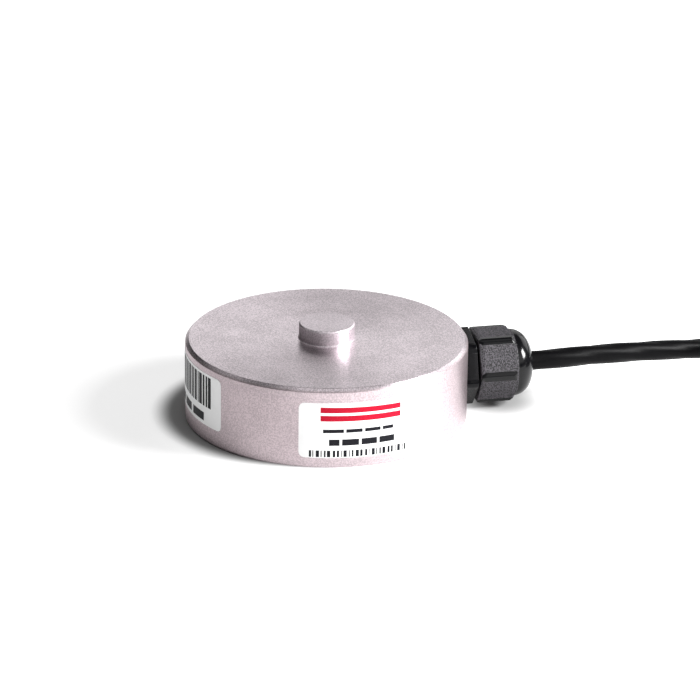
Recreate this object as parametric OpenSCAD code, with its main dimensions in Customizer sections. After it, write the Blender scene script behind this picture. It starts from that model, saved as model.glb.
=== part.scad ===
// Low-profile compression load cell with a nylon cable gland and its signal cable.
// Origin at the middle of the base, +Z up, gland along +X. Threads are drawn at nominal size.

/* [Body] */
// Outer diameter of the body
body_d = 78; // [76:0.5:84]
// Height of the body, without the load button
body_h = 22.8; // [22.4:0.1:26]
// Chamfer round the top edge
top_chamfer = 1; // [0.4:0.1:1.4]
// Chamfer round the base edge
base_chamfer = 0.5; // [0.2:0.1:0.8]

/* [Load button] */
// Diameter of the load button
button_d = 15.4; // [12:0.1:20]
// Height of the load button above the body
button_h = 4.4; // [3:0.1:7]
// Broken edge round the button's face
button_break = 0.35; // [0.1:0.05:0.6]
// Radius at the foot of the button
button_foot_r = 0.4; // [0.2:0.1:0.8]

/* [Diaphragm] */
// Thickness of the diaphragm
diaphragm_t = 2.4; // [1.6:0.1:3.2]
// Diameter of the hub that hangs under the button
hub_d = 16; // [14:0.5:17]
// Height of the hub below the diaphragm
hub_h = 5.4; // [4:0.1:6]
// Radius where the diaphragm meets hub and wall
root_r = 1; // [0.5:0.1:1.4]

/* [Base cover] */
// Wall between the tapped holes and the cover's recess
base_wall = 1.8; // [1.4:0.1:2.6]
// Rim of the cover outside its screw heads
cover_rim = 0.65; // [0.5:0.05:1.2]
// Thickness of the base cover
cover_t = 1.6; // [1.5:0.1:2]
// How far the cover lies above the base plane
cover_inset = 0.3; // [0.2:0.1:0.6]
// Radial gap round the cover
cover_gap = 0.1; // [0.05:0.05:0.2]
// Chamfer on the cover's edges
cover_chamfer = 0.3; // [0.1:0.1:0.5]

/* [Cover seal] */
// Wall between the cavity and the seal's groove
seal_wall = 0.95; // [0.7:0.05:1.4]
// Cord diameter of the seal ring before it is squeezed
seal_cord_d = 1.5; // [1.3:0.1:1.6]
// Depth of its groove as a share of the cord diameter
seal_squeeze = 0.77; // [0.7:0.01:0.85]
// Free width beside the squeezed ring
groove_play = 0.2; // [0.1:0.05:0.3]

/* [Cover screws] */
// Number of cover screws
screw_count = 4; // [3:1:6]
// Land between the seal's groove and the screws' holes
screw_land = 0.75; // [0.5:0.05:1.2]
// Thread diameter
screw_d = 2.5; // [2:0.1:2.6]
// Diameter of the countersunk head
screw_head_d = 4.7; // [4.2:0.1:4.9]
// Length of a screw
screw_l = 6; // [5:0.5:8]
// Width of the hexagon socket
socket_af = 1.5; // [1.2:0.1:1.6]
// Depth of the hexagon socket
socket_depth = 0.9; // [0.6:0.1:1.1]

/* [Fixing holes] */
// Number of tapped holes in the base
fixing_count = 3; // [3:3:6]
// Distance from the body's side to the middle of a tapped hole
fixing_edge = 5; // [4:0.1:6]
// Diameter of a tapped hole
fixing_d = 4.2; // [3.3:0.1:4.4]
// Depth of a tapped hole
fixing_depth = 9; // [6:0.5:12]
// Countersink at the mouth of a tapped hole
fixing_lead = 0.3; // [0.1:0.1:0.5]

/* [Gland port] */
// Depth of the spot face below the side of the body
spot_depth = 2.6; // [2:0.1:3]
// Free width round the hexagon in the spot face
spot_play = 0.2; // [0.1:0.05:0.3]
// Thread left free below the gland's spigot
port_play = 0.8; // [0.4:0.1:1.2]
// Bore that takes the cable from the port into the cavity
way_d = 8; // [7:0.1:9]

/* [Gland] */
// Width across the flats of both hexagons
hex_af = 19; // [18.6:0.1:19.2]
// Corner radius of the hexagons
hex_corner_r = 1.5; // [1:0.1:2]
// Thickness of the fixed hexagon
hex_t = 3.6; // [3:0.1:4.5]
// Angle by which the fixed hexagon is turned from the nut's
hex_turn = 11; // [0:1:30]
// Thread diameter of the spigot
spigot_d = 15.2; // [14.8:0.1:15.4]
// Length of the spigot below the hexagon
spigot_l = 8.2; // [7:0.1:9]
// Bore of the gland's body
gland_bore_d = 6.8; // [6.4:0.1:7.2]
// Thickness of the flat washer
washer_t = 1; // [0.8:0.1:1.4]
// Outer diameter of the flat washer
washer_d = 18.4; // [17.6:0.1:18.6]
// Thread diameter of the neck that takes the nut
neck_d = 15.4; // [15:0.1:15.6]
// Length of the neck
neck_l = 8; // [7:0.1:8.5]
// Number of slots between the clamping fingers
slot_pairs = 4; // [3:1:5]
// Width of a slot
slot_w = 0.9; // [0.6:0.1:1.2]
// Reach of the clamping fingers beyond the neck
finger_l = 4.8; // [4:0.1:5]
// Outer diameter of the rubber seal
gland_seal_d = 8.7; // [8.4:0.1:8.9]

/* [Gland nut] */
// Gap between the fixed hexagon and the nut
nut_gap = 0.8; // [0.4:0.1:1]
// Length of the nut
nut_l = 16.2; // [16:0.1:17]
// Length of the bevel at the nut's inner end
nut_bevel_l = 1.2; // [0.6:0.1:1.6]
// Depth of that bevel
nut_bevel = 0.35; // [0.2:0.05:0.6]
// Length of the dome
dome_l = 5.5; // [5:0.1:6]
// Radius by which the lip of the dome stands round the axis
lip_r = 3.4; // [3.3:0.1:3.8]
// Bore of the nut's mouth
mouth_d = 6; // [5.8:0.1:6.1]
// Length over which the corners are coned off
corner_cone_l = 1.9; // [1.4:0.1:3.4]

/* [Cable] */
// Diameter of the cable
cable_d = 5.6; // [5:0.1:5.7]
// Distance along x from the gland's mouth to the coil's first turn
run_l = 96; // [80:1:140]
// Distance across from the gland's axis to the coil's first turn
run_side = 22; // [16:1:30]
// Diameter of an insulated core
core_d = 1.1; // [0.9:0.05:1.2]
// Diameter of the bare shield wire
shield_d = 0.7; // [0.5:0.05:0.9]
// Length of jacket that reaches into the cavity
jacket_reach = 3; // [2:0.1:4]
// Length of the straight free end
tail_straight = 18; // [16:1:24]
// Length of the tinned lead ends
tip_l = 6; // [4:0.5:8]

/* [Coil and ties] */
// Turns side by side and on each other in the coil
coil_rows = 4; // [3:1:5]
// Inner radius of the coil
coil_inner_r = 18.5; // [18:0.5:26]
// Thickness of a tie
tie_t = 1.2; // [0.8:0.1:1.6]
// Width of a tie
tie_w = 3.6; // [2.5:0.1:4.8]
// Number of ties
tie_count = 3; // [2:1:4]

/* [Shrink sleeve] */
// Wall of the sleeve on the free end
sleeve_t = 0.5; // [0.3:0.1:0.8]
// Length of the sleeve on the jacket
sleeve_l = 10; // [8:1:14]
// Length that is shrunk onto the leads
sleeve_neck_l = 4; // [3:0.5:6]

/* [Gauges and board] */
// Space between the inner and the outer gauges
gauge_space = 0.8; // [0.5:0.1:2]
// Width of a strain gauge
gauge_w = 4; // [3.4:0.1:4.6]
// Thickness of a gauge's carrier film
film_t = 0.12; // [0.08:0.01:0.2]
// Thickness of the gauge foil
foil_t = 0.04; // [0.03:0.01:0.08]
// Lines in a gauge grid
grid_lines = 6; // [4:2:8]
// Diameter of the terminal board
board_d = 18; // [17.6:0.1:18.4]
// Thickness of the terminal board
board_t = 1; // [0.8:0.1:1.2]
// Diameter of the foam pad
pad_d = 13; // [10:0.5:14]
// Thickness of the foam pad
pad_t = 0.6; // [0.4:0.1:0.8]
// Diameter of a gauge wire
wire_d = 0.3; // [0.2:0.05:0.4]

/* [Labels] */
// Thickness of the labels
label_t = 0.12; // [0.08:0.02:0.2]
// Corner radius of the labels
label_corner_r = 1.6; // [1:0.1:2.4]
// Width of the front label along the side
front_label_w = 34; // [30:0.5:38]
// Height of the front label
front_label_h = 15.8; // [13:0.1:17]
// Height of its middle above the base
front_label_z = 10.95; // [10:0.05:11.5]
// Angle of its middle round the body
front_label_angle = 271.5; // [265:0.5:280]
// Width of the side label along the side
side_label_w = 41.5; // [36:0.5:46]
// Height of the side label
side_label_h = 15.1; // [13:0.1:16]
// Height of its middle above the base
side_label_z = 12.55; // [11.5:0.05:13]
// Angle of its middle round the body
side_label_angle = 180; // [175:0.5:190]

/* [Hidden] */
$fn = 64;

// Clearance between parts that slide into each other
fit = 0.05;
// How far a cut runs past the face that it opens
past = 1;

// Radii and heights of the body
body_r = body_d / 2;
button_r = button_d / 2;
button_top = body_h + button_h;
hub_r = hub_d / 2;
ceiling_z = body_h - diaphragm_t;
hub_z = ceiling_z - hub_h;
seat_z = cover_inset + cover_t;

// Fixing holes. From them the radii step inwards: recess, cover, screws, seal and cavity
fixing_r = fixing_d / 2;
fixing_pitch_r = body_r - fixing_edge;
fixing_start = 60;
drill_point = 59;
recess_r = fixing_pitch_r - fixing_r - base_wall;
cover_r = recess_r - cover_gap;

// Cover screws
screw_r = screw_d / 2;
head_r = screw_head_d / 2;
screw_pitch_r = cover_r - cover_rim - head_r;
screw_start = 45;
screw_lead = 0.3;
screw_play = 1;

// The squeezed seal ring keeps the section area of its round cord
groove_depth = seal_cord_d * seal_squeeze;
ring_end_r = groove_depth / 2;
ring_flat_w = (PI / 4) * (pow(seal_cord_d, 2) - pow(groove_depth, 2)) / groove_depth;
groove_half_w = ring_end_r + ring_flat_w / 2 + groove_play / 2;
ring_r = screw_pitch_r - screw_r - fit - screw_land - groove_half_w;
cavity_r = ring_r - groove_half_w - seal_wall;

// Gland port, measured along +X
gland_z = body_h / 2;
spot_x = body_r - spot_depth;
hex_across_r = (hex_af / 2 - hex_corner_r) / cos(30) + hex_corner_r;
spot_r = hex_across_r + spot_play;
port_r = spigot_d / 2 + fit;
port_depth = spigot_l - washer_t + port_play;
port_lead = 0.5;
cable_r = cable_d / 2;

// Gland stations, measured outwards from the spot face
hex_base = washer_t;
hex_top = hex_base + hex_t;
spigot_end = hex_base - spigot_l;
spigot_lead = 0.8;
seal_base = hex_top + 1;
neck_top = hex_top + neck_l;
finger_top = neck_top + finger_l;
finger_root_r = neck_d / 2 - 0.9;
finger_tip_r = finger_root_r - 1.5;
gland_seal_r = gland_seal_d / 2;
nut_start = hex_top + nut_gap;
nut_end = nut_start + nut_l;
thread_end = neck_top + 0.4;
cone_end = finger_top + 0.4;
cone_slope = (finger_root_r - finger_tip_r) / finger_l;
mouth_r = mouth_d / 2;
mouth_lead = 0.3;
dome_start = nut_l - dome_l;
dome_rise = hex_af / 2 - 0.1 - lip_r;
cone_foot = dome_start + 0.7;
cone_foot_r = hex_af / 2 - 0.12;

// Gauges and board
gauge_gap = 0.4;
gauge_l = (cavity_r - hub_r - 2 * (root_r + gauge_gap) - gauge_space) / 2;
gauge_inner_r = hub_r + root_r + gauge_gap + gauge_l / 2;
gauge_outer_r = cavity_r - root_r - gauge_gap - gauge_l / 2;
tab = 0.9;
tab_r = tab / 2 + 0.15;
tab_x = 0.7;
outer_wire_x = 1.9;
grid_l = gauge_l - tab - 1.1;
grid_pitch = gauge_w * 0.8 / grid_lines;
pad_z = hub_z - pad_t;
board_z = pad_z - board_t;
board_r = board_d / 2;
chip = [2, 1.25, 0.5];
chip_x = -3.4;
chip_pitch = 2.6;

// Cores inside the cavity, from the end of the jacket to the board
jacket_x = cavity_r - jacket_reach;
core_r = core_d / 2;
shield_r = shield_d / 2;
core_ring = 0.65;
core_straight = 0.8;
core_pad_x = 6.2;
core_pad_pitch = 2.2;

// Free cable from the gland to the coil: its shares of the way across and down, at equal steps along x
mouth_x = spot_x + nut_end;
layer_z = tie_t + cable_r;
run_straight = 3;
run_across = [0.01, 0.06, 0.12, 0.18, 0.25, 0.32, 0.41, 0.52, 0.645, 0.77, 0.889, 1];
run_down = [0, 0.03, 0.09, 0.17, 0.27, 0.39, 0.52, 0.67, 0.82, 0.94, 1, 1];
run_steps = len(run_across);
run_points = [for (i = [0:run_steps - 1]) [
  mouth_x + run_l * (i + 1) / run_steps, run_side * run_across[i], mix(gland_z, layer_z, run_down[i])
]];
coil_entry_at = 107;
coil_exit_at = 30;
bundle = coil_rows * cable_d;
coil_outer_r = coil_inner_r + bundle;
coil_turn_r = coil_outer_r - cable_r;
coil_x = last(run_points)[0] - coil_turn_r * cos(coil_entry_at);
coil_y = last(run_points)[1] - coil_turn_r * sin(coil_entry_at);
channel_w = cable_d + 0.8;
channel_l = 30;

// Free end: angle round the coil, distance out from its side in cable radii and share of the way up
tail_around = [
  [30, -1, 1], [16, -0.58, 1], [4, 0.56, 0.99], [-7, 1.76, 0.85], [-18, 2.22, 0.57], [-29, 2.28, 0.28],
  [-40, 2.22, 0.08], [-51, 2.1, 0], [-62, 2, 0], [-72, 1.96, 0]
];
tail_top_z = layer_z + cable_d;
tail_lay_z = cable_r + sleeve_t;
tail_heading = last(tail_around)[0] - 90;

// Leads beyond the jacket, as distance along the free end, across it and above its middle
lead_ring = 0.8;
lead_steps = [0, 4.5, 9, 15, 22, 29, 35];
lead_spread = [0, 0, 0.25, 0.6, 0.9, 1, 1];
tip_d = 0.6;

// Where the leads come to lie across the free end, and their radii: red, black, shield, green, white
lead_lands = [-7.5, -3.6, 0, 3.6, 7.5];
lead_radii = [core_r, core_r, shield_r, core_r, core_r];

// Ties
tie_start = 80;
tie_head = [5.2, 4.6, 3.2];
tie_head_lead = 0.6;
tie_tongue = 3;

// Points of an arc from angle a to angle b
function arc(x, y, r, a, b, steps = 6) =
  [for (i = [0:steps]) [x + r * cos(a + (b - a) * i / steps), y + r * sin(a + (b - a) * i / steps)]];

// Rounded rectangle of half widths w and h round a middle point
function rounded_rect(w, h, r, x = 0, y = 0) = concat(
  arc(x + w - r, y + h - r, r, 0, 90), arc(x - w + r, y + h - r, r, 90, 180),
  arc(x - w + r, y - h + r, r, 180, 270), arc(x + w - r, y - h + r, r, 270, 360));

// Hexagon with rounded corners and its flats square to x
function hex_points(af, r) =
  [for (k = [0:5]) let (c = (af / 2 - r) / cos(30), a = 30 + 60 * k)
    each arc(c * cos(a), c * sin(a), r, a - 30, a + 30, 4)];

function unit(v) = v / norm(v);
function last(list) = list[len(list) - 1];
function mix(a, b, t) = a + (b - a) * t;
function ease(t) = t * t * (3 - 2 * t);

// Tube swept along points, closed at both ends
module tube_along(points, r, sides = 8, level = [0, 0, 1]) {
  n = len(points);
  ways = [for (i = [0:n - 1]) unit(points[min(i + 1, n - 1)] - points[max(i - 1, 0)])];
  rings = [for (i = [0:n - 1])
    let (u = unit(cross(level, ways[i])), v = cross(ways[i], u))
      for (k = [0:sides - 1]) points[i] + r * cos(360 * k / sides) * u + r * sin(360 * k / sides) * v];
  walls = [for (i = [0:n - 2]) for (k = [0:sides - 1])
    let (a = i * sides + k, b = i * sides + (k + 1) % sides)
      each [[a, a + sides, b], [b, a + sides, b + sides]]];
  start_cap = [for (k = [0:sides - 1]) k];
  end_cap = [for (k = [0:sides - 1]) n * sides - 1 - k];
  polyhedron(rings, concat(walls, [start_cap, end_cap]));
}

// Ring that is turned from a profile of radius and height
module turned(profile) {
  rotate_extrude() polygon(profile);
}

// Copies round the axis on a pitch circle
module round_pitch(count, pitch_r, start) {
  for (i = [0:count - 1]) rotate([0, 0, start + 360 * i / count]) translate([pitch_r, 0, 0]) children();
}

// Local z runs outwards along the gland, from the spot face
module on_gland() {
  translate([spot_x, 0, gland_z]) rotate([0, 90, 0]) children();
}

// Stainless body, turned in one piece with its load button
module housing() {
  profile = concat(
    [[0, hub_z], [hub_r, hub_z]],
    arc(hub_r + root_r, ceiling_z - root_r, root_r, 180, 90),
    arc(cavity_r - root_r, ceiling_z - root_r, root_r, 90, 0),
    [[cavity_r, seat_z]],
    [[ring_r - groove_half_w, seat_z], [ring_r - groove_half_w, seat_z + groove_depth]],
    [[ring_r + groove_half_w, seat_z + groove_depth], [ring_r + groove_half_w, seat_z]],
    [[recess_r, seat_z], [recess_r, 0], [body_r - base_chamfer, 0], [body_r, base_chamfer]],
    [[body_r, body_h - top_chamfer], [body_r - top_chamfer, body_h]],
    arc(button_r + button_foot_r, body_h + button_foot_r, button_foot_r, 270, 180),
    [[button_r, button_top - button_break], [button_r - button_break, button_top], [0, button_top]]);
  color("silver")
    difference() {
      turned(profile);
      round_pitch(fixing_count, fixing_pitch_r, fixing_start) fixing_hole();
      round_pitch(screw_count, screw_pitch_r, screw_start)
        translate([0, 0, seat_z - past])
          cylinder(r = screw_r + fit, h = screw_l - cover_t + past + screw_play);
      on_gland() {
        cylinder(r = spot_r, h = spot_depth + past);
        translate([0, 0, -port_depth]) cylinder(r = port_r, h = port_depth + past);
        translate([0, 0, -port_lead]) cylinder(r1 = port_r, r2 = port_r + port_lead, h = port_lead);
        translate([0, 0, cavity_r - spot_x - past]) cylinder(d = way_d, h = spot_x - cavity_r + past);
      }
    }
}

// Blind tapped hole with its drill point
module fixing_hole() {
  translate([0, 0, -past]) cylinder(r = fixing_r, h = fixing_depth + past);
  translate([0, 0, fixing_depth]) cylinder(r1 = fixing_r, r2 = 0, h = fixing_r / tan(drill_point));
  cylinder(r1 = fixing_r + fixing_lead, r2 = fixing_r, h = fixing_lead);
}

// Thin disc that closes the cavity
module base_cover() {
  color("gainsboro")
    difference() {
      turned([
        [0, cover_inset], [cover_r - cover_chamfer, cover_inset], [cover_r, cover_inset + cover_chamfer],
        [cover_r, seat_z - cover_chamfer], [cover_r - cover_chamfer, seat_z], [0, seat_z]
      ]);
      round_pitch(screw_count, screw_pitch_r, screw_start)
        translate([0, 0, cover_inset]) {
          cylinder(r1 = head_r + fit, r2 = screw_r + fit, h = head_r - screw_r);
          translate([0, 0, -past]) cylinder(r = screw_r + fit, h = cover_t + 2 * past);
        }
    }
}

// Seal ring, squeezed flat between groove and cover
module cover_o_ring() {
  flat = ring_flat_w / 2;
  mid_z = seat_z + ring_end_r;
  color("dimgray")
    turned(concat(
      arc(ring_r + flat, mid_z, ring_end_r, -90, 90, 10),
      arc(ring_r - flat, mid_z, ring_end_r, 90, 270, 10)));
}

// Countersunk screw with its head down and its face at z = 0
module cover_screw() {
  difference() {
    turned([
      [0, 0], [head_r, 0], [screw_r, head_r - screw_r],
      [screw_r, screw_l - screw_lead], [screw_r - screw_lead, screw_l], [0, screw_l]
    ]);
    translate([0, 0, -past]) cylinder(r = socket_af / 2 / cos(30), h = socket_depth + past, $fn = 6);
  }
}

module cover_screws() {
  color("darkgray")
    round_pitch(screw_count, screw_pitch_r, screw_start) translate([0, 0, cover_inset]) cover_screw();
}

// Foil strain gauge under the ceiling, its length along the radius, its tabs towards the hub
module gauge(at, radius) {
  foil_w = grid_pitch * 0.55;
  grid_start = -gauge_l / 2 + tab + 0.55;
  color("goldenrod")
    rotate([0, 0, at]) translate([radius, 0, ceiling_z]) {
      translate([-gauge_l / 2, -gauge_w / 2, -film_t]) cube([gauge_l, gauge_w, film_t]);
      translate([0, 0, -film_t - foil_t]) {
        for (i = [0:grid_lines - 1])
          translate([grid_start, (i - (grid_lines - 1) / 2) * grid_pitch - foil_w / 2, 0])
            cube([grid_l, foil_w, foil_t]);
        for (i = [0:2:grid_lines - 2])
          translate([grid_start + grid_l - foil_w, (i - (grid_lines - 1) / 2) * grid_pitch - foil_w / 2, 0])
            cube([foil_w, grid_pitch + foil_w, foil_t]);
        for (i = [1:2:grid_lines - 2])
          translate([grid_start, (i - (grid_lines - 1) / 2) * grid_pitch - foil_w / 2, 0])
            cube([foil_w, grid_pitch + foil_w, foil_t]);
        for (side = [-1, 1])
          translate([-gauge_l / 2 + tab_r - tab / 2, side * tab_x - tab / 2, 0]) cube([tab, tab, foil_t]);
      }
    }
}

module gauge_inner_a() { gauge(90, gauge_inner_r); }
module gauge_inner_b() { gauge(270, gauge_inner_r); }
module gauge_outer_a() { gauge(90, gauge_outer_r); }
module gauge_outer_b() { gauge(270, gauge_outer_r); }

// Foam pad between the hub and the board
module board_pad() {
  color("white") translate([0, 0, pad_z]) cylinder(d = pad_d, h = pad_t);
}

module terminal_board() {
  color("seagreen") translate([0, 0, board_z]) cylinder(r = board_r, h = board_t);
}

// Chip resistors under the board
module bridge_resistors() {
  color("black")
    for (i = [-1:1])
      translate([chip_x - chip[0] / 2, i * chip_pitch - chip[1] / 2, board_z - chip[2]]) cube(chip);
}

// Fine wires from the gauges' tabs, past the board's edge and onto its underside
module gauge_wires() {
  drop = ceiling_z - film_t - foil_t;
  inner_tab = gauge_inner_r - gauge_l / 2 + tab_r;
  outer_tab = gauge_outer_r - gauge_l / 2 + tab_r;
  edge = max(board_r, hub_r + root_r) + wire_d + 0.2;
  land_r = board_r - 0.8;
  land_z = board_z - wire_d / 2;
  color("firebrick")
    for (at = [90, 270]) rotate([0, 0, at])
      for (side = [-1, 1]) {
        tube_along([
          [inner_tab, side * tab_x, drop], [inner_tab, side * tab_x, drop - 1],
          [edge, side * tab_x, drop - 2.5], [edge, side * tab_x, board_z + 0.4],
          [edge - 0.1, side * tab_x, board_z - 0.6], [board_r - 0.2, side * tab_x, board_z - 0.7],
          [land_r, side * tab_x, land_z]
        ], wire_d / 2, 6, [0, 1, 0]);
        tube_along([
          [outer_tab, side * tab_x, drop], [outer_tab, side * tab_x, drop - 0.8],
          [mix(outer_tab, edge, 0.5), side * mix(tab_x, outer_wire_x, 0.5), drop - 2.4],
          [edge + 0.6, side * outer_wire_x, drop - 3.6], [edge + 0.3, side * outer_wire_x, board_z + 0.2],
          [edge, side * outer_wire_x, board_z - 0.7], [board_r - 0.2, side * outer_wire_x, board_z - 0.8],
          [land_r, side * outer_wire_x, land_z]
        ], wire_d / 2, 6, [0, 1, 0]);
      }
}

// Core from the end of the jacket, at its own place in the cable, to its land on the board
module core(tint, side, lift, land, r) {
  start = [jacket_x, side * core_ring * 1.3, gland_z + lift * core_ring];
  end = [core_pad_x, land * core_pad_pitch, board_z - r];
  fan = [for (i = [0:6]) let (t = i / 6, s = ease(t)) [
    mix(start[0] - core_straight, end[0], t), mix(start[1], end[1], s), mix(start[2], end[2], s)
  ]];
  color(tint) tube_along(concat([start], fan), r);
}

module core_red() { core("red", -1, 1, -2, core_r); }
module core_black() { core("black", -1, -1, -1, core_r); }
module core_shield() { core("lightgray", 0, 0, 0, shield_r); }
module core_green() { core("green", 1, -1, 1, core_r); }
module core_white() { core("white", 1, 1, 2, core_r); }

// Flat washer between the spot face and the fixed hexagon
module gland_washer() {
  color("black")
    on_gland()
      difference() {
        cylinder(d = washer_d, h = washer_t);
        translate([0, 0, -past]) cylinder(r = port_r, h = washer_t + 2 * past);
      }
}

// Moulded gland body: spigot, fixed hexagon, neck for the nut and slotted clamping fingers
module gland_body() {
  spigot_r = spigot_d / 2;
  neck_r = neck_d / 2;
  color("dimgray")
    on_gland()
      difference() {
        union() {
          translate([0, 0, hex_base]) rotate([0, 0, hex_turn])
            linear_extrude(hex_t) polygon(hex_points(hex_af, hex_corner_r));
          turned([
            [0, spigot_end], [spigot_r - spigot_lead, spigot_end], [spigot_r, spigot_end + spigot_lead],
            [spigot_r, mix(hex_base, hex_top, 0.5)], [neck_r, mix(hex_base, hex_top, 0.5)],
            [neck_r, neck_top], [finger_root_r, neck_top], [finger_tip_r, finger_top], [0, finger_top]
          ]);
        }
        turned([
          [0, spigot_end - past], [gland_bore_d / 2, spigot_end - past], [gland_bore_d / 2, seal_base],
          [gland_seal_r + fit, seal_base], [gland_seal_r + fit, finger_top + past], [0, finger_top + past]
        ]);
        for (i = [0:slot_pairs - 1])
          rotate([0, 0, 180 * i / slot_pairs])
            translate([-finger_root_r - past, -slot_w / 2, neck_top + 0.4])
              cube([2 * (finger_root_r + past), slot_w, finger_l + past]);
      }
}

// Rubber sleeve that the fingers press onto the cable
module gland_seal() {
  color("darkslategray")
    on_gland()
      turned([
        [cable_r, seal_base], [gland_seal_r, seal_base], [gland_seal_r, finger_top - 0.6],
        [gland_seal_r - 0.5, finger_top - 0.1], [cable_r, finger_top - 0.1]
      ]);
}

// One of the three slabs whose overlap bevels the nut's inner end on all six flats
module nut_slab(at) {
  flare = nut_bevel / nut_bevel_l;
  low = hex_af / 2 - nut_bevel - flare * past;
  high = hex_af / 2 + 2 * nut_bevel;
  bend_z = 3 * nut_bevel_l;
  rotate([0, 0, at]) rotate([90, 0, 0])
    linear_extrude(height = 2 * hex_af, center = true)
      polygon([
        [-low, -past], [low, -past], [high, bend_z],
        [high, nut_l + past], [-high, nut_l + past], [-high, bend_z]
      ]);
}

// Domed nut: hexagon, corners coned off towards the dome, bore with thread and pressing cone
module gland_nut() {
  dome = [for (i = [0:14]) let (a = 90 * i / 14) [lip_r + dome_rise * cos(a), dome_start + dome_l * sin(a)]];
  rim_r = hex_across_r + 0.6;
  slope = (hex_across_r - cone_foot_r) / corner_cone_l;
  press_r = finger_root_r + 2 * fit;
  color("dimgray")
    on_gland() translate([0, 0, nut_start])
      difference() {
        intersection() {
          linear_extrude(nut_l) polygon(hex_points(hex_af, hex_corner_r));
          nut_slab(0);
          nut_slab(60);
          nut_slab(120);
          turned(concat(
            [[0, -past], [rim_r, -past], [rim_r, cone_foot - (rim_r - cone_foot_r) / slope]],
            [[cone_foot_r, cone_foot]], [for (p = dome) if (p[1] > cone_foot + 0.1) p],
            [[lip_r, nut_l + past], [0, nut_l + past]]));
        }
        turned([
          [0, -past], [neck_d / 2 + fit, -past], [neck_d / 2 + fit, thread_end - nut_start],
          [press_r, thread_end - nut_start],
          [press_r - cone_slope * (cone_end - thread_end), cone_end - nut_start],
          [mouth_r, cone_end - nut_start + 0.4], [mouth_r, nut_l - mouth_lead],
          [mouth_r + mouth_lead, nut_l], [mouth_r + mouth_lead, nut_l + past], [0, nut_l + past]
        ]);
      }
}

// Label wrapped onto the side of the body
module side_wrap(width, height, mid_z, at, corner_r) {
  chord = body_r * sin(width / body_r * 90 / PI);
  intersection() {
    difference() {
      cylinder(r = body_r + label_t, h = body_h);
      translate([0, 0, -past]) cylinder(r = body_r, h = body_h + 2 * past);
    }
    rotate([0, 0, at]) translate([0, 0, mid_z]) rotate([90, 0, 90])
      linear_extrude(body_d) polygon(rounded_rect(chord, height / 2, corner_r));
  }
}

module front_label() {
  color("white") side_wrap(front_label_w, front_label_h, front_label_z, front_label_angle, label_corner_r);
}

module side_label() {
  color("white") side_wrap(side_label_w, side_label_h, side_label_z, side_label_angle, label_corner_r);
}

// Straight length of cable through port, gland and nut
module cable_entry() {
  color("black")
    translate([jacket_x, 0, gland_z]) rotate([0, 90, 0]) cylinder(r = cable_r, h = mouth_x - jacket_x);
}

// Free cable from the nut's mouth to the coil
module cable_run() {
  start = [[mouth_x, 0, gland_z], [mouth_x + run_straight, 0, gland_z]];
  color("black") tube_along(concat(start, run_points), cable_r, 10);
}

// Point beside the coil, at an angle round it, a distance out from its side and a height
function by_coil(at, out, z) =
  [coil_x + (coil_outer_r + out) * cos(at), coil_y + (coil_outer_r + out) * sin(at), z];

// Point of the free end from one entry of its list
function tail_point(p) = by_coil(p[0], p[1] * cable_r, mix(tail_lay_z, tail_top_z, p[2]));

// Outer shape of the wound coil, with the two channels that the free ends leave through
module cable_coil() {
  color("black")
    difference() {
      translate([coil_x, coil_y, 0])
        turned(rounded_rect(bundle / 2, bundle / 2, cable_r, coil_inner_r + bundle / 2, tie_t + bundle / 2));
      coil_channel(coil_entry_at, layer_z, 90);
      coil_channel(coil_exit_at, tail_top_z, -90);
    }
}

module coil_channel(at, z, turn) {
  translate([coil_x, coil_y, 0]) rotate([0, 0, at]) translate([coil_turn_r, 0, z]) rotate([0, 0, turn])
    translate([0, -channel_w / 2, -channel_w / 2]) cube([channel_l, channel_w, channel_w]);
}

// Straps round the bundle, each with its head on top
module coil_ties() {
  mid_r = coil_inner_r + bundle / 2;
  angle = tie_w / mid_r * 180 / PI;
  half = bundle / 2;
  color("black")
    for (i = [0:tie_count - 1])
      translate([coil_x, coil_y, 0]) rotate([0, 0, tie_start + 360 * i / tie_count - angle / 2]) {
        rotate_extrude(angle = angle)
          difference() {
            polygon(rounded_rect(half + tie_t, half + tie_t, cable_r + tie_t, mid_r, tie_t + half));
            polygon(rounded_rect(half, half, cable_r, mid_r, tie_t + half));
          }
        rotate([0, 0, angle / 2]) translate([mid_r - tie_head[0] / 2, 0, bundle + 2 * tie_t]) tie_lock();
      }
}

// Lock of a tie with the cut end of its strap
module tie_lock() {
  sink = 0.3;
  rotate([90, 0, 0])
    linear_extrude(height = tie_head[1], center = true)
      polygon([
        [0, -sink], [tie_head[0], -sink],
        [tie_head[0], tie_head[2] - tie_head_lead], [tie_head[0] - tie_head_lead, tie_head[2]],
        [tie_head_lead, tie_head[2]], [0, tie_head[2] - tie_head_lead]
      ]);
  translate([-tie_tongue, -tie_w / 2, 0.4]) cube([tie_tongue + 1, tie_w, tie_t]);
}

// Free end beside the coil, with its last stretch straight
tail_points = [for (p = tail_around) tail_point(p)];
tail_way = [cos(tail_heading), sin(tail_heading), 0];
tail_end = last(tail_points) + tail_straight * tail_way;

module cable_tail() {
  straight = [last(tail_points) + tail_straight / 2 * tail_way, tail_end];
  color("black") tube_along(concat(tail_points, straight), cable_r, 10);
}

// Local x runs along the free end from the end of the jacket
module on_tail_end() {
  translate(tail_end) rotate([0, 0, tail_heading]) children();
}

// Shrink sleeve over the end of the jacket, drawn in over the leads
module end_sleeve() {
  neck_r = lead_ring * sqrt(2) + core_r + fit;
  color("black")
    on_tail_end() rotate([0, 90, 0])
      turned([
        [cable_r, -sleeve_l], [cable_r + sleeve_t, -sleeve_l], [cable_r + sleeve_t, 0.3],
        [neck_r + sleeve_t, 1.6], [neck_r + sleeve_t, sleeve_neck_l], [neck_r, sleeve_neck_l],
        [neck_r, 1.4], [cable_r - 0.2, fit], [cable_r - 0.2, 0], [cable_r, 0]
      ]);
}

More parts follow.
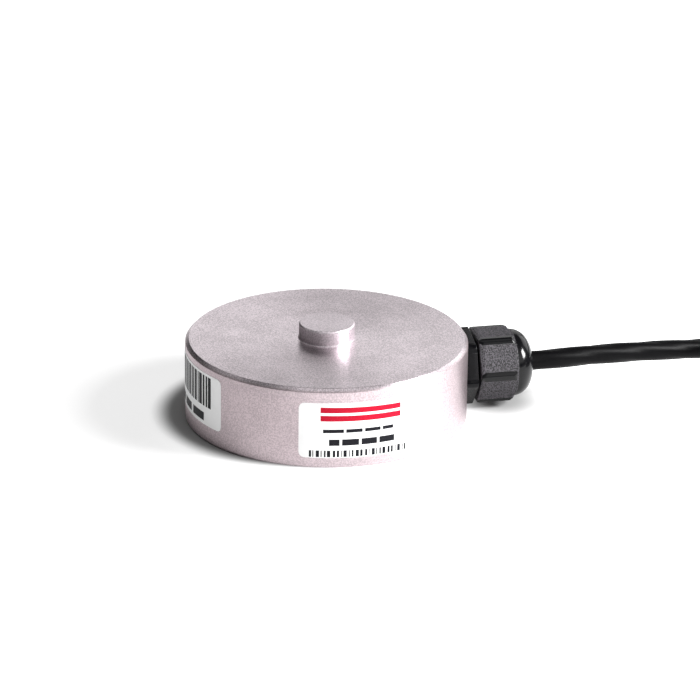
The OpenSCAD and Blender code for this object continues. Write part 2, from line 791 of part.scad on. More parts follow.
// Points of a lead, in the free end's own directions, from the jacket to its tinned end
function lead_points(side, lift, at) = [for (i = [0:len(lead_steps) - 1]) [
  lead_steps[i],
  mix(side * lead_ring, lead_lands[at], lead_spread[i]),
  mix(lift * lead_ring, lead_radii[at] - tail_lay_z, lead_spread[i])
]];

module lead(tint, side, lift, at) {
  color(tint) on_tail_end() tube_along(lead_points(side, lift, at), lead_radii[at]);
}

module lead_red() { lead("red", -1, 1, 0); }
module lead_black() { lead("black", -1, -1, 1); }
module lead_shield() { lead("lightgray", 0, 0, 2); }
module lead_green() { lead("green", 1, -1, 3); }
module lead_white() { lead("white", 1, 1, 4); }

// Bare tinned strands beyond the insulation
module lead_tips() {
  color("gainsboro")
    on_tail_end()
      for (i = [0:len(lead_lands) - 1])
        translate([last(lead_steps), lead_lands[i], lead_radii[i] - tail_lay_z])
          rotate([0, 90, 0]) cylinder(d = tip_d, h = tip_l);
}

housing();
base_cover();
cover_o_ring();
cover_screws();
gauge_inner_a();
gauge_inner_b();
gauge_outer_a();
gauge_outer_b();
board_pad();
terminal_board();
bridge_resistors();
gauge_wires();
core_red();
core_black();
core_green();
core_white();
core_shield();
gland_washer();
gland_body();
gland_seal();
gland_nut();
front_label();
side_label();
cable_entry();
cable_run();
cable_coil();
coil_ties();
cable_tail();
end_sleeve();
lead_red();
lead_black();
lead_green();
lead_white();
lead_shield();
lead_tips();
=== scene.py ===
import math

import bmesh
import bpy
from mathutils import Matrix, Vector


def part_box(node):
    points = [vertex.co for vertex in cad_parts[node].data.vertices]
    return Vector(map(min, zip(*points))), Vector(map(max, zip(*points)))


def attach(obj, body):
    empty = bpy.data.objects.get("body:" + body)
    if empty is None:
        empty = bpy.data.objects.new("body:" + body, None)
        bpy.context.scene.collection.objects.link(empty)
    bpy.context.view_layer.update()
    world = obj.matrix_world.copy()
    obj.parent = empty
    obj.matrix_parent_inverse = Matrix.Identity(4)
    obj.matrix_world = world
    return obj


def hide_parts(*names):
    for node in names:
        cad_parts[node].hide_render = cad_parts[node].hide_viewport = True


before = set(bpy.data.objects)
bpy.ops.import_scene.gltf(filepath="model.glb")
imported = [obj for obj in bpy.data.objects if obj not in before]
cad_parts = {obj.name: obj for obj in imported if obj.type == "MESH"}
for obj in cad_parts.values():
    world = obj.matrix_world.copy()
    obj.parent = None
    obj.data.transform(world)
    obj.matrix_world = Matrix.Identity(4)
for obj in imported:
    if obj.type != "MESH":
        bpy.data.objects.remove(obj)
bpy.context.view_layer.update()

mm = 0.001
scene = bpy.context.scene


# Camera, at the place and angle that the photograph was taken from

cameraSetup = {
    "place": (-251.7, -1118.9, 468.1),
    "right": (0.97528, -0.22069, 0.01114),
    "up": (0.07036, 0.35792, 0.93110),
    "lens": 229.6,
    "sensor": 36.0,
    "clip": (0.05, 50.0),
}


def makeCamera():
    data = bpy.data.cameras.new("photoCamera")
    data.lens = cameraSetup["lens"]
    data.sensor_width = cameraSetup["sensor"]
    data.clip_start, data.clip_end = cameraSetup["clip"]
    camera = bpy.data.objects.new("photoCamera", data)
    scene.collection.objects.link(camera)
    right = Vector(cameraSetup["right"]).normalized()
    back = right.cross(Vector(cameraSetup["up"])).normalized()
    turn = Matrix((right, back.cross(right), back)).transposed().to_4x4()
    camera.matrix_world = Matrix.Translation(Vector(cameraSetup["place"]) * mm) @ turn
    scene.camera = camera


makeCamera()
print("camera placed")


# Shader writing

class Signal:
    # a node's output that Python's operators work on
    def __init__(self, finish, socket):
        self.finish = finish
        self.socket = socket

    def math(self, operation, other, swapped=False):
        pair = (other, self) if swapped else (self, other)
        return self.finish.node("ShaderNodeMath", {"operation": operation}, {0: pair[0], 1: pair[1]})

    def __add__(self, other):
        return self.math("ADD", other)

    def __radd__(self, other):
        return self.math("ADD", other, True)

    def __sub__(self, other):
        return self.math("SUBTRACT", other)

    def __rsub__(self, other):
        return self.math("SUBTRACT", other, True)

    def __mul__(self, other):
        return self.math("MULTIPLY", other)

    def __rmul__(self, other):
        return self.math("MULTIPLY", other, True)

    def __pow__(self, other):
        return self.math("POWER", other)

    def __rpow__(self, other):
        return self.math("POWER", other, True)


class Finish:
    # one material, with its Principled shader and the nodes that feed it
    def __init__(self, name, fixed):
        self.material = bpy.data.materials.new(name)
        self.material.use_nodes = True
        self.tree = self.material.node_tree
        self.shader = self.tree.nodes["Principled BSDF"]
        for socket, value in fixed.items():
            self.shader.inputs[socket].default_value = asColour(value)

    def node(self, kind, settings=None, inputs=None, output=0):
        made = self.tree.nodes.new(kind)
        for key, value in (settings or {}).items():
            setattr(made, key, value)
        for key, value in (inputs or {}).items():
            if isinstance(value, Signal):
                self.tree.links.new(value.socket, made.inputs[key])
            else:
                made.inputs[key].default_value = asColour(value)
        return Signal(self, made.outputs[output])

    def feed(self, socket, signal):
        self.tree.links.new(signal.socket, self.shader.inputs[socket])

    def place(self):
        # where the point is on the object, in millimetres
        spot = self.node("ShaderNodeTexCoord", output="Object")
        return self.node("ShaderNodeVectorMath", {"operation": "SCALE"}, {0: spot, "Scale": 1 / mm})

    def split(self, vector):
        outputs = self.node("ShaderNodeSeparateXYZ", None, {0: vector}).socket.node.outputs
        return [Signal(self, outputs[axis]) for axis in ("X", "Y", "Z")]

    def noise(self, place, scale, detail=2.0, rough=0.5):
        return self.node("ShaderNodeTexNoise", None,
                         {"Vector": place, "Scale": scale, "Detail": detail, "Roughness": rough})

    def lineNoise(self, along, scale, detail, rough):
        return self.node("ShaderNodeTexNoise", {"noise_dimensions": "1D"},
                         {"W": along, "Scale": scale, "Detail": detail, "Roughness": rough})

    def step(self, signal, low, high, toLow=0.0, toHigh=1.0):
        return self.node("ShaderNodeMapRange", {"interpolation_type": "SMOOTHSTEP"},
                         {0: signal, 1: low, 2: high, 3: toLow, 4: toHigh})

    def blend(self, first, second, factor):
        return self.node("ShaderNodeMix", {"data_type": "RGBA"}, {0: factor, 6: first, 7: second}, 2)

    def bump(self, height, distance, strength=1.0):
        self.feed("Normal", self.node("ShaderNodeBump", None,
                                      {"Height": height, "Distance": distance, "Strength": strength}))


def asColour(value):
    return (*value, 1.0) if isinstance(value, tuple) and len(value) == 3 else value


# Mesh making. All sizes are in millimetres until a piece is added

tiny = 1e-6


def addPiece(name, shapes, finish, replaced=(), sharp=32.0):
    # shapes is a list of (points, faces)
    points, faces = [], []
    for shapePoints, shapeFaces in shapes:
        base = len(points)
        points += [(p[0] * mm, p[1] * mm, p[2] * mm) for p in shapePoints]
        faces += [[i + base for i in face] for face in shapeFaces]
    mesh = bpy.data.meshes.new(name)
    mesh.from_pydata(points, [], faces)
    mesh.materials.append(finish.material)
    work = bmesh.new()
    work.from_mesh(mesh)
    bmesh.ops.recalc_face_normals(work, faces=work.faces)
    work.to_mesh(mesh)
    work.free()
    mesh.polygons.foreach_set("use_smooth", [True] * len(mesh.polygons))
    mesh.set_sharp_from_angle(angle=math.radians(sharp))
    piece = bpy.data.objects.new(name, mesh)
    scene.collection.objects.link(piece)
    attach(piece, "root")
    if replaced:
        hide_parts(*replaced)
    return piece


def refinish(mesh, finish, chosen):
    # a second finish for the faces whose middle, in millimetres, is chosen
    mesh.materials.append(finish.material)
    for polygon in mesh.polygons:
        if chosen(polygon.center / mm):
            polygon.material_index = len(mesh.materials) - 1


def loft(rings, closedAcross=False, capped=False):
    # rings of equal length, each a closed loop of points
    count, around = len(rings), len(rings[0])
    points = [p for ring in rings for p in ring]
    faces = []
    for i in range(count if closedAcross else count - 1):
        here, there = i * around, (i + 1) % count * around
        for k in range(around):
            n = (k + 1) % around
            faces.append([here + k, here + n, there + n, there + k])
    if capped:
        faces.append(list(range(around))[::-1])
        faces.append([(count - 1) * around + k for k in range(around)])
    return points, faces


def revolve(profile, steps, place=lambda r, a, s: (r * math.cos(a), r * math.sin(a), s),
            start=0.0, sweep=360.0):
    # profile of (radius, station). A closed solid if it starts and ends on the axis, or is a closed section
    whole = abs(sweep - 360.0) < tiny
    onAxis = profile[0][0] < tiny and profile[-1][0] < tiny
    spokes = steps if whole else steps + 1
    angles = [math.radians(start + sweep * k / steps) for k in range(spokes)]
    points, rows, faces = [], [], []
    for radius, station in profile:
        if radius < tiny:
            rows.append([len(points)] * spokes)
            points.append(place(0.0, 0.0, station))
        else:
            rows.append(list(range(len(points), len(points) + spokes)))
            points += [place(radius, a, station) for a in angles]
    last = len(rows) - 1 if onAxis else len(rows)
    for i in range(last):
        low, high = rows[i], rows[(i + 1) % len(rows)]
        for k in range(steps):
            n = (k + 1) % spokes
            corners = [low[k], low[n], high[n], high[k]]
            face = [c for j, c in enumerate(corners) if c != corners[j - 1]]
            if len(face) > 2:
                faces.append(face)
    if not whole:
        faces.append([row[0] for row in rows])
        faces.append([row[-1] for row in rows][::-1])
    return points, faces


def arcPoints(x, y, radius, start, end):
    steps = 6
    turn = [math.radians(start + (end - start) * i / steps) for i in range(steps + 1)]
    return [(x + radius * math.cos(a), y + radius * math.sin(a)) for a in turn]


def softened(outline, radius, closed=False):
    # rounds each corner of an outline a little, so that its edges catch the light
    steps, almostStraight, longestCut = 3, math.radians(160), 0.45
    count, result = len(outline), []
    for i, point in enumerate(outline):
        if not closed and i in (0, count - 1):
            result.append(point)
            continue
        before, after = Vector(outline[i - 1]), Vector(outline[(i + 1) % count])
        here = Vector(point)
        back, onward = before - here, after - here
        if back.length < tiny or onward.length < tiny or back.angle(onward) > almostStraight:
            result.append(point)
            continue
        cut = min(radius, back.length * longestCut, onward.length * longestCut)
        first, second = here + back.normalized() * cut, here + onward.normalized() * cut
        for k in range(steps + 1):
            t = k / steps
            p = (1 - t) ** 2 * first + 2 * t * (1 - t) * here + t * t * second
            result.append((p.x, p.y))
    return result


def smoothPath(points, spacing):
    # centripetal Catmull-Rom curve through points, then evenly spaced along its length
    route = [Vector(p) for p in points]
    route = [2 * route[0] - route[1]] + route + [2 * route[-1] - route[-2]]
    dense = []
    for i in range(1, len(route) - 2):
        a, b, c, d = route[i - 1:i + 3]
        knots = [0.0]
        for one, two in ((a, b), (b, c), (c, d)):
            knots.append(knots[-1] + max((two - one).length, tiny) ** 0.5)
        parts = max(4, int((c - b).length / spacing * 2))
        for k in range(parts):
            t = knots[1] + (knots[2] - knots[1]) * k / parts
            ab = a.lerp(b, (t - knots[0]) / (knots[1] - knots[0]))
            bc = b.lerp(c, (t - knots[1]) / (knots[2] - knots[1]))
            cd = c.lerp(d, (t - knots[2]) / (knots[3] - knots[2]))
            abc = ab.lerp(bc, (t - knots[0]) / (knots[2] - knots[0]))
            bcd = bc.lerp(cd, (t - knots[1]) / (knots[3] - knots[1]))
            dense.append(abc.lerp(bcd, (t - knots[1]) / (knots[2] - knots[1])))
    dense.append(route[-2])
    lengths = [0.0]
    for one, two in zip(dense, dense[1:]):
        lengths.append(lengths[-1] + (two - one).length)
    parts = max(2, round(lengths[-1] / spacing))
    even, j = [], 0
    for k in range(parts + 1):
        goal = lengths[-1] * k / parts
        while j < len(dense) - 2 and lengths[j + 1] < goal:
            j += 1
        span = max(lengths[j + 1] - lengths[j], tiny)
        even.append(dense[j].lerp(dense[j + 1], min(1.0, (goal - lengths[j]) / span)))
    return even, lengths[-1]


def sweepTube(path, sides, radiusAt):
    # rings carried along the path without turning. radiusAt takes the length so far and the angle
    ways = []
    for i in range(len(path)):
        ways.append((path[min(i + 1, len(path) - 1)] - path[max(i - 1, 0)]).normalized())
    side = ways[0].cross(Vector((0, 0, 1))).normalized()
    rings, run = [], 0.0
    for i, point in enumerate(path):
        if i:
            run += (point - path[i - 1]).length
        side = (side - ways[i] * side.dot(ways[i])).normalized()
        up = side.cross(ways[i])
        ring = []
        for k in range(sides):
            a = 2 * math.pi * k / sides
            r = radiusAt(run, a)
            ring.append(tuple(point + side * (r * math.cos(a)) + up * (r * math.sin(a))))
        rings.append(ring)
    return loft(rings, capped=True)


# Cable finish and the cable itself, from inside the gland to its bare leads

cable = {
    "radius": 2.8,
    "laySink": 0.2,       # how far the jacket sinks between the four cores
    "laySharp": 2.6,
    "layPitch": 60.0,
    "layStart": 45.0,
    "sides": 32,
    "ringEvery": 2.0,
    "inside": 50.0,       # where the round jacket inside the gland ends
    "innerSides": 48,
    "innerRings": 12,
    "beforeMouth": (54.0, 0.0),
    "mouth": (58.0, 0.0, 11.4),
    "afterMouth": (61.5, 0.02),
    "runLength": 96.0,    # along x, from the mouth to the coil's first turn
    "runSide": 22.0,
    "across": [0.01, 0.06, 0.12, 0.18, 0.25, 0.32, 0.41, 0.52, 0.645, 0.77, 0.889, 1],
    "down": [0, 0.03, 0.09, 0.17, 0.27, 0.39, 0.52, 0.67, 0.82, 0.94, 1, 1],
    "coilEntry": 107.0,
    "coilExit": 30.0,
    "turnRadius": 38.1,
    "turnStep": 10.0,
    "pitch": 5.6,
    "layer": 4.0,
    "firstMove": 130.0,   # degrees round the coil where a turn moves to the next slot
    "cornerShift": 39.8,  # how much sooner it moves after a change of direction
    "moveWidth": 50.0,
    "outerRadius": 40.9,
    "tail": [         # angle round the coil, distance out in cable radii, share of the way up
        (30, -1, 1), (16, -0.58, 1), (4, 0.56, 0.99), (-7, 1.76, 0.85), (-18, 2.22, 0.57), (-29, 2.28, 0.28),
        (-40, 2.22, 0.08), (-51, 2.1, 0), (-62, 2, 0), (-72, 1.96, 0),
    ],
    "tailTop": 9.6,
    "tailRest": 3.3,
    "tailStraight": 18.0,
}


def runPoints():
    x, y, z = cable["mouth"]
    steps = len(cable["across"])
    return [(x + cable["runLength"] * (i + 1) / steps, y + cable["runSide"] * across,
             z + (cable["layer"] - z) * down)
            for i, (across, down) in enumerate(zip(cable["across"], cable["down"]))]


runEnd, entryTurn = runPoints()[-1], math.radians(cable["coilEntry"])
coilX = runEnd[0] - cable["turnRadius"] * math.cos(entryTurn)
coilY = runEnd[1] - cable["turnRadius"] * math.sin(entryTurn)


def coilPoints():
    # sixteen slots, four by four, in the order that the cable fills them, and the side each move goes to
    moves = ["in"] * 3 + ["up"] * 3 + ["out"] * 3 + ["down"] + ["in"] * 2 + ["down"] + ["out"] * 2
    ways = {"in": (-1, 0), "out": (1, 0), "up": (0, 1), "down": (0, -1)}
    slots = [(cable["turnRadius"], cable["layer"])]
    for move in moves:
        across, up = ways[move]
        slots.append((slots[-1][0] + across * cable["pitch"], slots[-1][1] + up * cable["pitch"]))
    turned, middles = cable["coilEntry"] - cable["firstMove"] + 360.0, []
    for i, move in enumerate(moves):
        if i:
            turned += 360.0 - (cable["cornerShift"] if move != moves[i - 1] else 0.0)
        middles.append(turned)
    whole = cable["coilEntry"] - cable["coilExit"] + 360.0 * (len(slots) - 1)
    points, steps = [], int(whole / cable["turnStep"])
    for i in range(1, steps):
        t = whole * i / steps
        radius, height = slots[0]
        for k, middle in enumerate(middles):
            part = min(1.0, max(0.0, (t - middle) / cable["moveWidth"] + 0.5))
            part = part * part * (3 - 2 * part)
            radius += (slots[k + 1][0] - slots[k][0]) * part
            height += (slots[k + 1][1] - slots[k][1]) * part
        a = math.radians(cable["coilEntry"] - t)
        points.append((coilX + radius * math.cos(a), coilY + radius * math.sin(a), height))
    return points


def tailPoints():
    points = []
    low, high = cable["tailRest"], cable["tailTop"]
    for at, out, share in cable["tail"]:
        a, r = math.radians(at), cable["outerRadius"] + out * cable["radius"]
        points.append(Vector((coilX + r * math.cos(a), coilY + r * math.sin(a), low + (high - low) * share)))
    heading = math.radians(cable["tail"][-1][0] - 90)
    way = Vector((math.cos(heading), math.sin(heading), 0))
    straight = [points[-1] + way * (cable["tailStraight"] * part) for part in (0.33, 0.67, 1.0)]
    return [tuple(p) for p in points + straight], way


def jacketRadius(run, angle):
    turn = angle + math.radians(cable["layStart"]) + 2 * math.pi * run / cable["layPitch"]
    hollow = 0.5 - 0.5 * math.cos(4 * turn)
    return cable["radius"] - cable["laySink"] * hollow ** cable["laySharp"]


def jacketFinish():
    jacket = Finish("cableJacket", {"Roughness": 0.4, "Specular IOR Level": 0.06})
    place = jacket.place()
    cloud = jacket.noise(place, 0.35, 2.0)
    grain = jacket.noise(place, 7.0, 3.0, 0.6)
    jacket.feed("Base Color", jacket.blend((0.0015, 0.0015, 0.0018), (0.003, 0.0028, 0.0033), cloud))
    jacket.feed("Roughness", 0.34 + 0.12 * grain)
    jacket.bump(grain, 0.03 * mm, 0.6)
    return jacket


def makeCable():
    jacket = jacketFinish()
    tail, way = tailPoints()
    mouth, height = cable["mouth"], cable["mouth"][2]
    points = [(cable["inside"], 0, height), (*cable["beforeMouth"], height), mouth,
              (*cable["afterMouth"], height)]
    points += runPoints() + coilPoints() + tail
    path, length = smoothPath(points, cable["ringEvery"])
    cord = addPiece("signalCable", [sweepTube(path, cable["sides"], jacketRadius)], jacket,
                    ["cable_run", "cable_coil", "cable_tail"], sharp=60.0)
    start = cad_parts["cable_entry"]
    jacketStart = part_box(start.name)[0].x / mm
    rings = cable["innerRings"]
    inner = [Vector((jacketStart + (cable["inside"] - jacketStart) * i / rings, 0, height))
             for i in range(rings + 1)]
    addPiece("jacketInGland", [sweepTube(inner, cable["innerSides"], lambda run, angle: cable["radius"])],
             jacket, ["cable_entry"])
    print("cable laid, metres:", round(length * mm, 3))
    return cord, path, length, tail, way


signalCable, cablePath, cableLength, tailRoute, tailWay = makeCable()


# Leads at the free end, each a smooth insulated wire with tinned strands

leads = {
    "steps": [0, 4.5, 9, 15, 22, 29, 35],
    "spread": [0, 0, 0.25, 0.6, 0.9, 1, 1],
    "ring": 0.8,
    "sides": 20,
    "spacing": 0.8,
    "coreRadius": 0.55,
    "shieldRadius": 0.35,
    "shieldPitch": 6.0,
    "tip": 5.95,
    "tipRadius": 0.3,
    "tipPitch": 5.0,
    "tipRings": 20,
    "places": {       # across and up inside the jacket, where it comes to lie, colour
        "red": (-1, 1, -7.5, (0.42, 0.008, 0.01)),
        "black": (-1, -1, -3.6, (0.012, 0.012, 0.013)),
        "shield": (0, 0, 0.0, None),
        "green": (1, -1, 3.6, (0.01, 0.16, 0.035)),
        "white": (1, 1, 7.5, (0.66, 0.65, 0.6)),
    },
}


def wireFinish(name, core):
    colour = leads["places"][core][3]
    wire = Finish(name, {"Roughness": 0.34})
    place = wire.place()
    cloud = wire.noise(place, 0.8, 2.0)
    wire.feed("Base Color", wire.blend(colour, tuple(c * 0.8 for c in colour), cloud))
    wire.feed("Roughness", 0.3 + 0.12 * wire.noise(place, 5.0, 2.0))
    return wire


def tinnedFinish(name):
    tinned = Finish(name, {"Metallic": 1.0, "Roughness": 0.3})
    grain = tinned.noise(tinned.place(), 6.0, 3.0)
    tinned.feed("Base Color", tinned.blend((0.62, 0.6, 0.57), (0.45, 0.44, 0.43), grain))
    tinned.feed("Roughness", 0.22 + 0.2 * grain)
    return tinned


def strands(path, radius, pitch):
    # seven fine strands, six of them laid round the middle one
    strand, sides = radius / 3, 8
    way = (path[-1] - path[0]).normalized()
    side = way.cross(Vector((0, 0, 1))).normalized()
    up = side.cross(way)
    shapes = [sweepTube(path, sides, lambda run, angle: strand)]
    for k in range(6):
        laid, run = [], 0.0
        for i, point in enumerate(path):
            if i:
                run += (point - path[i - 1]).length
            a = math.radians(60 * k) + 2 * math.pi * run / pitch
            laid.append(point + (side * math.cos(a) + up * math.sin(a)) * (2 * strand))
        shapes.append(sweepTube(laid, sides, lambda run, angle: strand))
    return shapes


def makeLeads():
    tinned = tinnedFinish("tinnedStrands")
    end = Vector(tailRoute[-1])
    across = Vector((-tailWay.y, tailWay.x, 0))
    rings = leads["tipRings"]
    pieces, tips = [], []
    for name, (side, lift, land, colour) in leads["places"].items():
        radius = leads["coreRadius"] if colour else leads["shieldRadius"]
        points = []
        for step, spread in zip(leads["steps"], leads["spread"]):
            sideways = side * leads["ring"] * (1 - spread) + land * spread
            up = lift * leads["ring"] * (1 - spread) + (radius - end.z) * spread
            points.append(tuple(end + tailWay * step + across * sideways + Vector((0, 0, up))))
        path, _ = smoothPath(points, leads["spacing"])
        for point in path:
            point.z = max(point.z, radius)
        if colour:
            pieces.append(addPiece(
                "lead" + name.capitalize(), [sweepTube(path, leads["sides"], lambda run, angle: radius)],
                wireFinish(name + "Insulation", name), ["lead_" + name], sharp=60.0))
        else:
            pieces.append(addPiece("leadShield", strands(path, radius, leads["shieldPitch"]), tinned,
                                   ["lead_shield"], sharp=60.0))
        tipEnd = path[-1] + tailWay * leads["tip"]
        tipPath = [path[-1].lerp(tipEnd, i / rings) for i in range(rings + 1)]
        tips += strands(tipPath, min(leads["tipRadius"], radius), leads["tipPitch"])
    pieces.append(addPiece("leadTips", tips, tinned, ["lead_tips"], sharp=60.0))
    print("leads laid")
    return pieces


leadPieces = makeLeads()
tuple(c * mm for c in cable["mouth"])
cableLength * mm
[tuple(p * mm) for p in cablePath]


# Gland: fixed hexagon with its threads and fingers, and the domed nut.
# Stations run outwards: the body's from the spot face, the nut's from its own back

gland = {
    "height": 11.4,
    "spotFace": 36.4,
    "around": 288,
    "acrossFlats": 19.0,
    "cornerRadius": 1.5,
    "hexTurn": 11.0,
    "hexStart": 1.0,
    "hexEnd": 4.6,
    "edge": 0.22,
    "spigotRadius": 7.6,
    "spigotEnd": -7.2,
    "spigotLead": 0.8,
    "bore": 3.4,
    "sealBore": 4.4,
    "sealStart": 5.6,
    "neckRadius": 7.7,
    "neckEnd": 12.6,
    "threadPitch": 1.5,
    "threadDepth": 0.45,
    "threadStep": 0.15,
    "fingers": 8,
    "fingerEnd": 17.4,
    "fingerRoot": 6.8,
    "fingerTip": 5.3,
    "fingerEdge": 0.2,
    "slotWidth": 0.9,
    "nutStart": 5.4,
    "nutLength": 16.2,
    "nutPlay": 0.05,
    "nutLead": 0.3,
    "nutEdge": 0.2,
    "nutRoom": 0.4,       # free length past the thread and past the fingers
    "nutStep": 0.3,
    "fineLength": 3.5,    # before the dome, where the rings lie closer
    "fineStep": 0.1,
    "bevel": 0.35,
    "bevelLength": 1.2,
    "cornerCone": 1.9,    # length of the cone that takes the corners off before the dome
    "coneInset": 0.12,
    "coneOver": 0.7,
    "domeLength": 5.5,
    "domeSteps": 40,
    "domeInset": 0.1,
    "lip": 3.4,
    "mouth": 3.0,
    "flatBlend": 0.12,
    "coneBlend": 0.3,
    "domeBlend": 0.15,
    "domeFade": (-0.4, 0.8),       # where the mould's erosion ends, from the dome's start
    "cornerFade": (0.62, 0.85),    # and how far out from the flats
    "domePolish": 0.3,
    "cornerPolish": 0.72,
}

domeStart = gland["nutLength"] - gland["domeLength"]
domeX = gland["spotFace"] + gland["nutStart"] + domeStart
quarter = [math.radians(90 * part) for part in (0.0, 0.35, 0.7, 1.0)]    # steps round an edge


def onGland(radius, angle, station):
    # angle from the top flat, station outwards from the spot face
    return (gland["spotFace"] + station, radius * math.sin(angle), gland["height"] + radius * math.cos(angle))


def hexRadius(angle):
    sector, corner = math.radians(60), gland["cornerRadius"]
    off = abs((angle + sector / 2) % sector - sector / 2)
    half = gland["acrossFlats"] / 2
    centre = (half - corner) / math.cos(sector / 2)
    if off <= math.atan2(centre / 2, half):
        return half / math.cos(off)
    lean = sector / 2 - off
    return centre * math.cos(lean) + math.sqrt(max(0.0, corner ** 2 - (centre * math.sin(lean)) ** 2))


def softMin(a, b, width):
    overlap = max(width - abs(a - b), 0.0) / width
    return min(a, b) - overlap * overlap * width / 4


def threadRadius(crest, angle, station):
    # a thread with slanted flanks and flats on crest and root
    turn = (station / gland["threadPitch"] - angle / (2 * math.pi)) % 1.0
    hollow = min(1.0, max(0.0, (1.0 - abs(2 * turn - 1)) * 1.5 - 0.25))
    return crest - gland["threadDepth"] * hollow


def glandRing(station, radiusAt):
    around = gland["around"]
    angles = [2 * math.pi * k / around for k in range(around)]
    return [onGland(radiusAt(a), a, station) for a in angles]


def glandCircle(station, radius):
    return glandRing(station, lambda a: radius)


def stations(start, end, step):
    count = max(1, round(abs(end - start) / step))
    return [start + (end - start) * i / count for i in range(count + 1)]


def glandBodyShape():
    g, edge, lead = gland, gland["edge"], gland["spigotLead"]
    turn = math.radians(g["hexTurn"])
    hexagon = lambda a: hexRadius(a + turn)
    rings = [glandCircle(g["spigotEnd"], g["bore"]), glandCircle(g["spigotEnd"], g["spigotRadius"] - lead)]
    for s in stations(g["spigotEnd"] + 0.3, g["hexStart"] - 0.5, g["threadStep"]):
        ease = min(1.0, (s - g["spigotEnd"]) / lead)
        rings.append(glandRing(s, lambda a: min(threadRadius(g["spigotRadius"], a, s),
                                                g["spigotRadius"] - lead * (1 - ease))))
    rings.append(glandCircle(g["hexStart"], g["spigotRadius"] - 0.2))
    for t in quarter:
        rings.append(glandRing(g["hexStart"] + edge * (1 - math.cos(t)),
                               lambda a: hexagon(a) - edge * (1 - math.sin(t))))
    for t in quarter:
        rings.append(glandRing(g["hexEnd"] - edge * (1 - math.sin(t)),
                               lambda a: hexagon(a) - edge * (1 - math.cos(t))))
    rings.append(glandCircle(g["hexEnd"], g["neckRadius"] - 0.3))
    for s in stations(g["hexEnd"] + g["threadStep"], g["neckEnd"], g["threadStep"]):
        rings.append(glandRing(s, lambda a: threadRadius(g["neckRadius"], a, s)))
    rings.append(glandCircle(g["neckEnd"], g["sealBore"]))
    rings.append(glandCircle(g["sealStart"], g["sealBore"]))
    rings.append(glandCircle(g["sealStart"], g["bore"]))
    shapes = [loft(rings, closedAcross=True)]
    foot = g["neckEnd"] - 0.1
    section = [(g["sealBore"], foot), (g["fingerRoot"], foot),
               (g["fingerTip"], g["fingerEnd"]), (g["sealBore"], g["fingerEnd"])]
    section = softened(section, g["fingerEdge"], closed=True)
    gap, share = math.degrees(g["slotWidth"] / 2 / g["sealBore"]), 360 / g["fingers"]
    for k in range(g["fingers"]):
        shapes.append(revolve(section, 10, onGland, share * k + gap, share - 2 * gap))
    return shapes


def nutRadius(angle, s):
    # the hexagon with its bevel at the back, then the corner cone, then the dome
    g, half = gland, gland["acrossFlats"] / 2
    sector = math.radians(60)
    off = (angle + sector / 2) % sector - sector / 2
    sink = g["bevel"] * max(0.0, 1 - s / g["bevelLength"])
    flat = (half - sink) / math.cos(off)
    across = (half - g["cornerRadius"]) / math.cos(sector / 2) + g["cornerRadius"]
    foot = half - g["coneInset"]
    slope = (across - foot) / g["cornerCone"]
    cone = foot + slope * max(0.0, domeStart + g["coneOver"] - s)
    rise = half - g["domeInset"] - g["lip"]
    reach = min(1.0, max(0.0, (s - domeStart) / g["domeLength"]))
    dome = g["lip"] + rise * math.sqrt(max(0.0, 1 - reach * reach))
    radius = softMin(softMin(hexRadius(angle), flat, g["flatBlend"]), cone, g["coneBlend"])
    return softMin(radius, dome, g["domeBlend"]) if s > domeStart - 0.5 else radius


def nutShape():
    g, start, lead = gland, gland["nutStart"], gland["nutLead"]
    end, bore = start + g["nutLength"], g["neckRadius"] + g["nutPlay"]
    threadEnd, coneEnd = g["neckEnd"] + g["nutRoom"], g["fingerEnd"] + g["nutRoom"]
    rings = [glandCircle(start + lead, bore), glandCircle(start, bore + lead)]
    for t in quarter:
        inset, s = g["nutEdge"] * (1 - math.sin(t)), g["nutEdge"] * (1 - math.cos(t))
        rings.append(glandRing(start + s, lambda a: nutRadius(a, s) - inset))
    coarse, fine, close = g["nutStep"], g["fineStep"], domeStart - g["fineLength"]
    for s in stations(coarse, close, coarse) + stations(close + fine, domeStart, fine):
        rings.append(glandRing(start + s, lambda a: nutRadius(a, s)))
    for i in range(1, g["domeSteps"]):
        s = domeStart + g["domeLength"] * math.sin(math.radians(90 * i / g["domeSteps"]))
        rings.append(glandRing(start + s, lambda a: nutRadius(a, s)))
    inside = [      # round the lip, in through the mouth and over the fingers to the thread
        (end - 0.02, g["lip"] + 0.02), (end, g["lip"] - 0.08), (end, g["mouth"] + 0.25),
        (end - 0.3, g["mouth"]), (coneEnd + 0.4, g["mouth"]), (coneEnd, g["fingerTip"]),
        (threadEnd, g["fingerRoot"] + 0.1), (threadEnd, bore),
    ]
    rings += [glandCircle(station, radius) for station, radius in inside]
    return [loft(rings, closedAcross=True)]


def nylonFinish(name, look):
    # the mould is eroded on the flats, and polished at the corners and the dome
    nylon = Finish(name, {"Roughness": 0.42, "Specular IOR Level": look["gloss"]})
    place = nylon.place()
    x, y, z = nylon.split(place)
    fromAxis = (y * y + (z - gland["height"]) ** 2.0) ** 0.5
    corner = nylon.step(fromAxis, *[gland["acrossFlats"] / 2 + out for out in gland["cornerFade"]])
    dome = nylon.step(x, *[domeX + along for along in gland["domeFade"]])
    eroded = (1.0 - dome) * (1.0 - corner) * look["eroded"]
    pits = nylon.step(nylon.noise(place, 2.6, 2.0, 0.6), 0.38, 0.62)
    fine = nylon.noise(place, 6.0, 2.0, 0.6)
    nylon.feed("Base Color", nylon.blend(look["tone"], look["pale"], pits * eroded))
    nylon.feed("Roughness", 0.12 + 0.44 * eroded + 0.08 * fine)
    nylon.bump((pits * 0.7 + fine * 0.3) * eroded, 0.12 * mm, 1.0)
    return nylon


